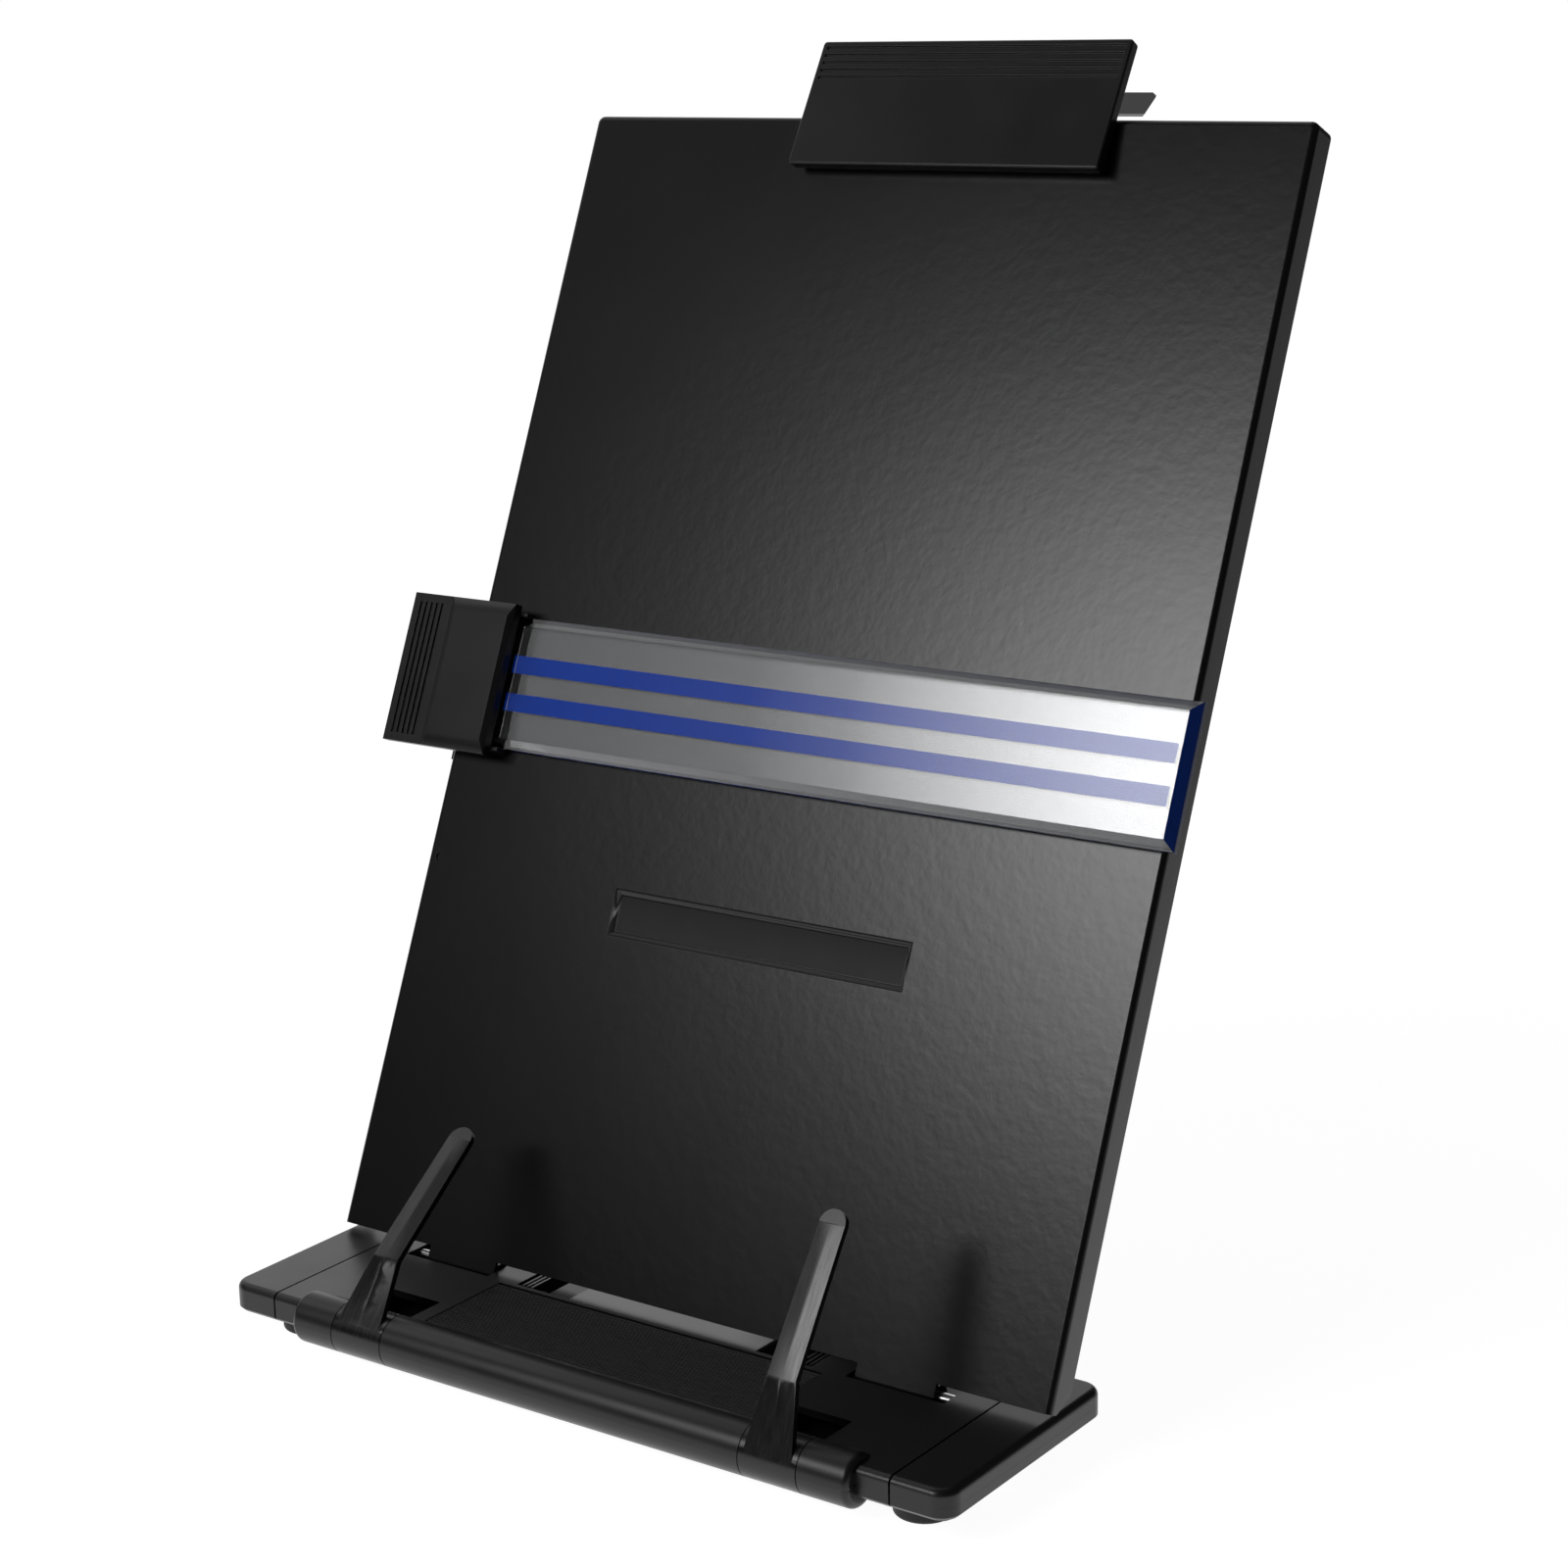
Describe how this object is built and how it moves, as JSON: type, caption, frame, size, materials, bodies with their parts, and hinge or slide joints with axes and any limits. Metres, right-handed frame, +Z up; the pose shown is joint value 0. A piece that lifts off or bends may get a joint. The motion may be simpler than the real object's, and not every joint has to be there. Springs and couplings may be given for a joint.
{
  "type": "copy holder",
  "caption": "Desk copy holder: leaning flanged steel board on a low base, with a sliding clear ruler, a sprung top clip, swinging page arms and a rear prop",
  "frame": {"origin": "on the desk, straight under the middle of the hinge between base and board", "axes": "X to the user's right, Y to the back, Z up"},
  "size_m": [0.2315, 0.1808, 0.3061],
  "materials": {
    "black_paint": "satin black paint with a fine orange peel",
    "case_plastic": "fine textured black plastic",
    "insert_plastic": "matte black plastic",
    "arm_plastic": "satin black plastic",
    "grip_plastic": "satin black plastic",
    "clear_plastic": "polished clear plastic",
    "blue_ink": "printed blue stripe",
    "rubber": "matte black rubber",
    "plain_steel": "plain steel",
    "bright_steel": "bright plated steel"
  },
  "bodies": {
    "base": {"base_lower_shell": "case_plastic", "tray_cover": "case_plastic", "end_cap_left": "case_plastic", "end_cap_right": "case_plastic", "ribbed_tray_insert": "insert_plastic", "under_plate": "black_paint", "base_screws": "plain_steel", "rubber_feet": "rubber", "centre_pad": "rubber", "rear_foot": "case_plastic", "heel_pad": "rubber", "hinge_pin_left": "bright_steel", "hinge_pin_right": "bright_steel", "hinge_saddle_left": "case_plastic", "hinge_saddle_right": "case_plastic", "arm_axle": "bright_steel", "arm_washers": "plain_steel"},
    "left_arm": {"page_arm_left": "arm_plastic"},
    "right_arm": {"page_arm_right": "arm_plastic"},
    "board": {"board_panel": "black_paint", "prop_bracket_left": "black_paint", "prop_bracket_right": "black_paint", "bracket_rivets": "plain_steel", "prop_pivot_rod": "bright_steel"},
    "prop": {"prop_leg": "black_paint", "prop_foot_rod": "bright_steel"},
    "line_guide": {"guide_knob": "grip_plastic", "guide_back_jaw": "grip_plastic", "guide_brake_spring": "plain_steel", "guide_screws": "plain_steel", "clear_ruler": "clear_plastic", "ruler_stripes": "blue_ink"},
    "clip_slider": {"clip_saddle": "grip_plastic", "clip_pin": "bright_steel", "clip_spring": "plain_steel"},
    "clip_jaw": {"clip_plate": "grip_plastic", "clip_pad": "rubber"}
  },
  "joints": [
    {"name": "board_tilt", "type": "hinge", "parent": "base", "child": "board", "pos_m": [0, 0, 0.011], "axis": [-1, 0, 0], "range_deg": [-9.3, 10.1]},
    {"name": "prop_swing", "type": "hinge", "parent": "board", "child": "prop", "pos_m": [0, 0.04586, 0.11319], "axis": [1, 0, 0], "range_deg": [-18.8, 20.4]},
    {"name": "guide_slide", "type": "slide", "parent": "board", "child": "line_guide", "axis": [0, 0.3971, 0.9178], "range_m": [-0.112, 0.115]},
    {"name": "clip_slide", "type": "slide", "parent": "board", "child": "clip_slider", "axis": [1, 0, 0], "range_m": [-0.067, 0.05]},
    {"name": "clip_open", "type": "hinge", "parent": "clip_slider", "child": "clip_jaw", "pos_m": [0.0086, 0.12252, 0.29162], "axis": [-1, 0, 0], "range_deg": [0, 25], "stiffness_Nm_per_rad": 0.35, "springref_deg": -34.38, "deforming": ["clip_spring"]},
    {"name": "arm_left_swing", "type": "hinge", "parent": "base", "child": "left_arm", "pos_m": [-0.0603, -0.0398, 0.0086], "axis": [-1, 0, 0], "range_deg": [-95, 15]},
    {"name": "arm_right_swing", "type": "hinge", "parent": "base", "child": "right_arm", "pos_m": [0.0603, -0.0398, 0.0086], "axis": [-1, 0, 0], "range_deg": [-77, 33]}
  ],
  "couplings": [
    {"joint": "prop_swing", "follows": "board_tilt", "ratio": 2}
  ]
}
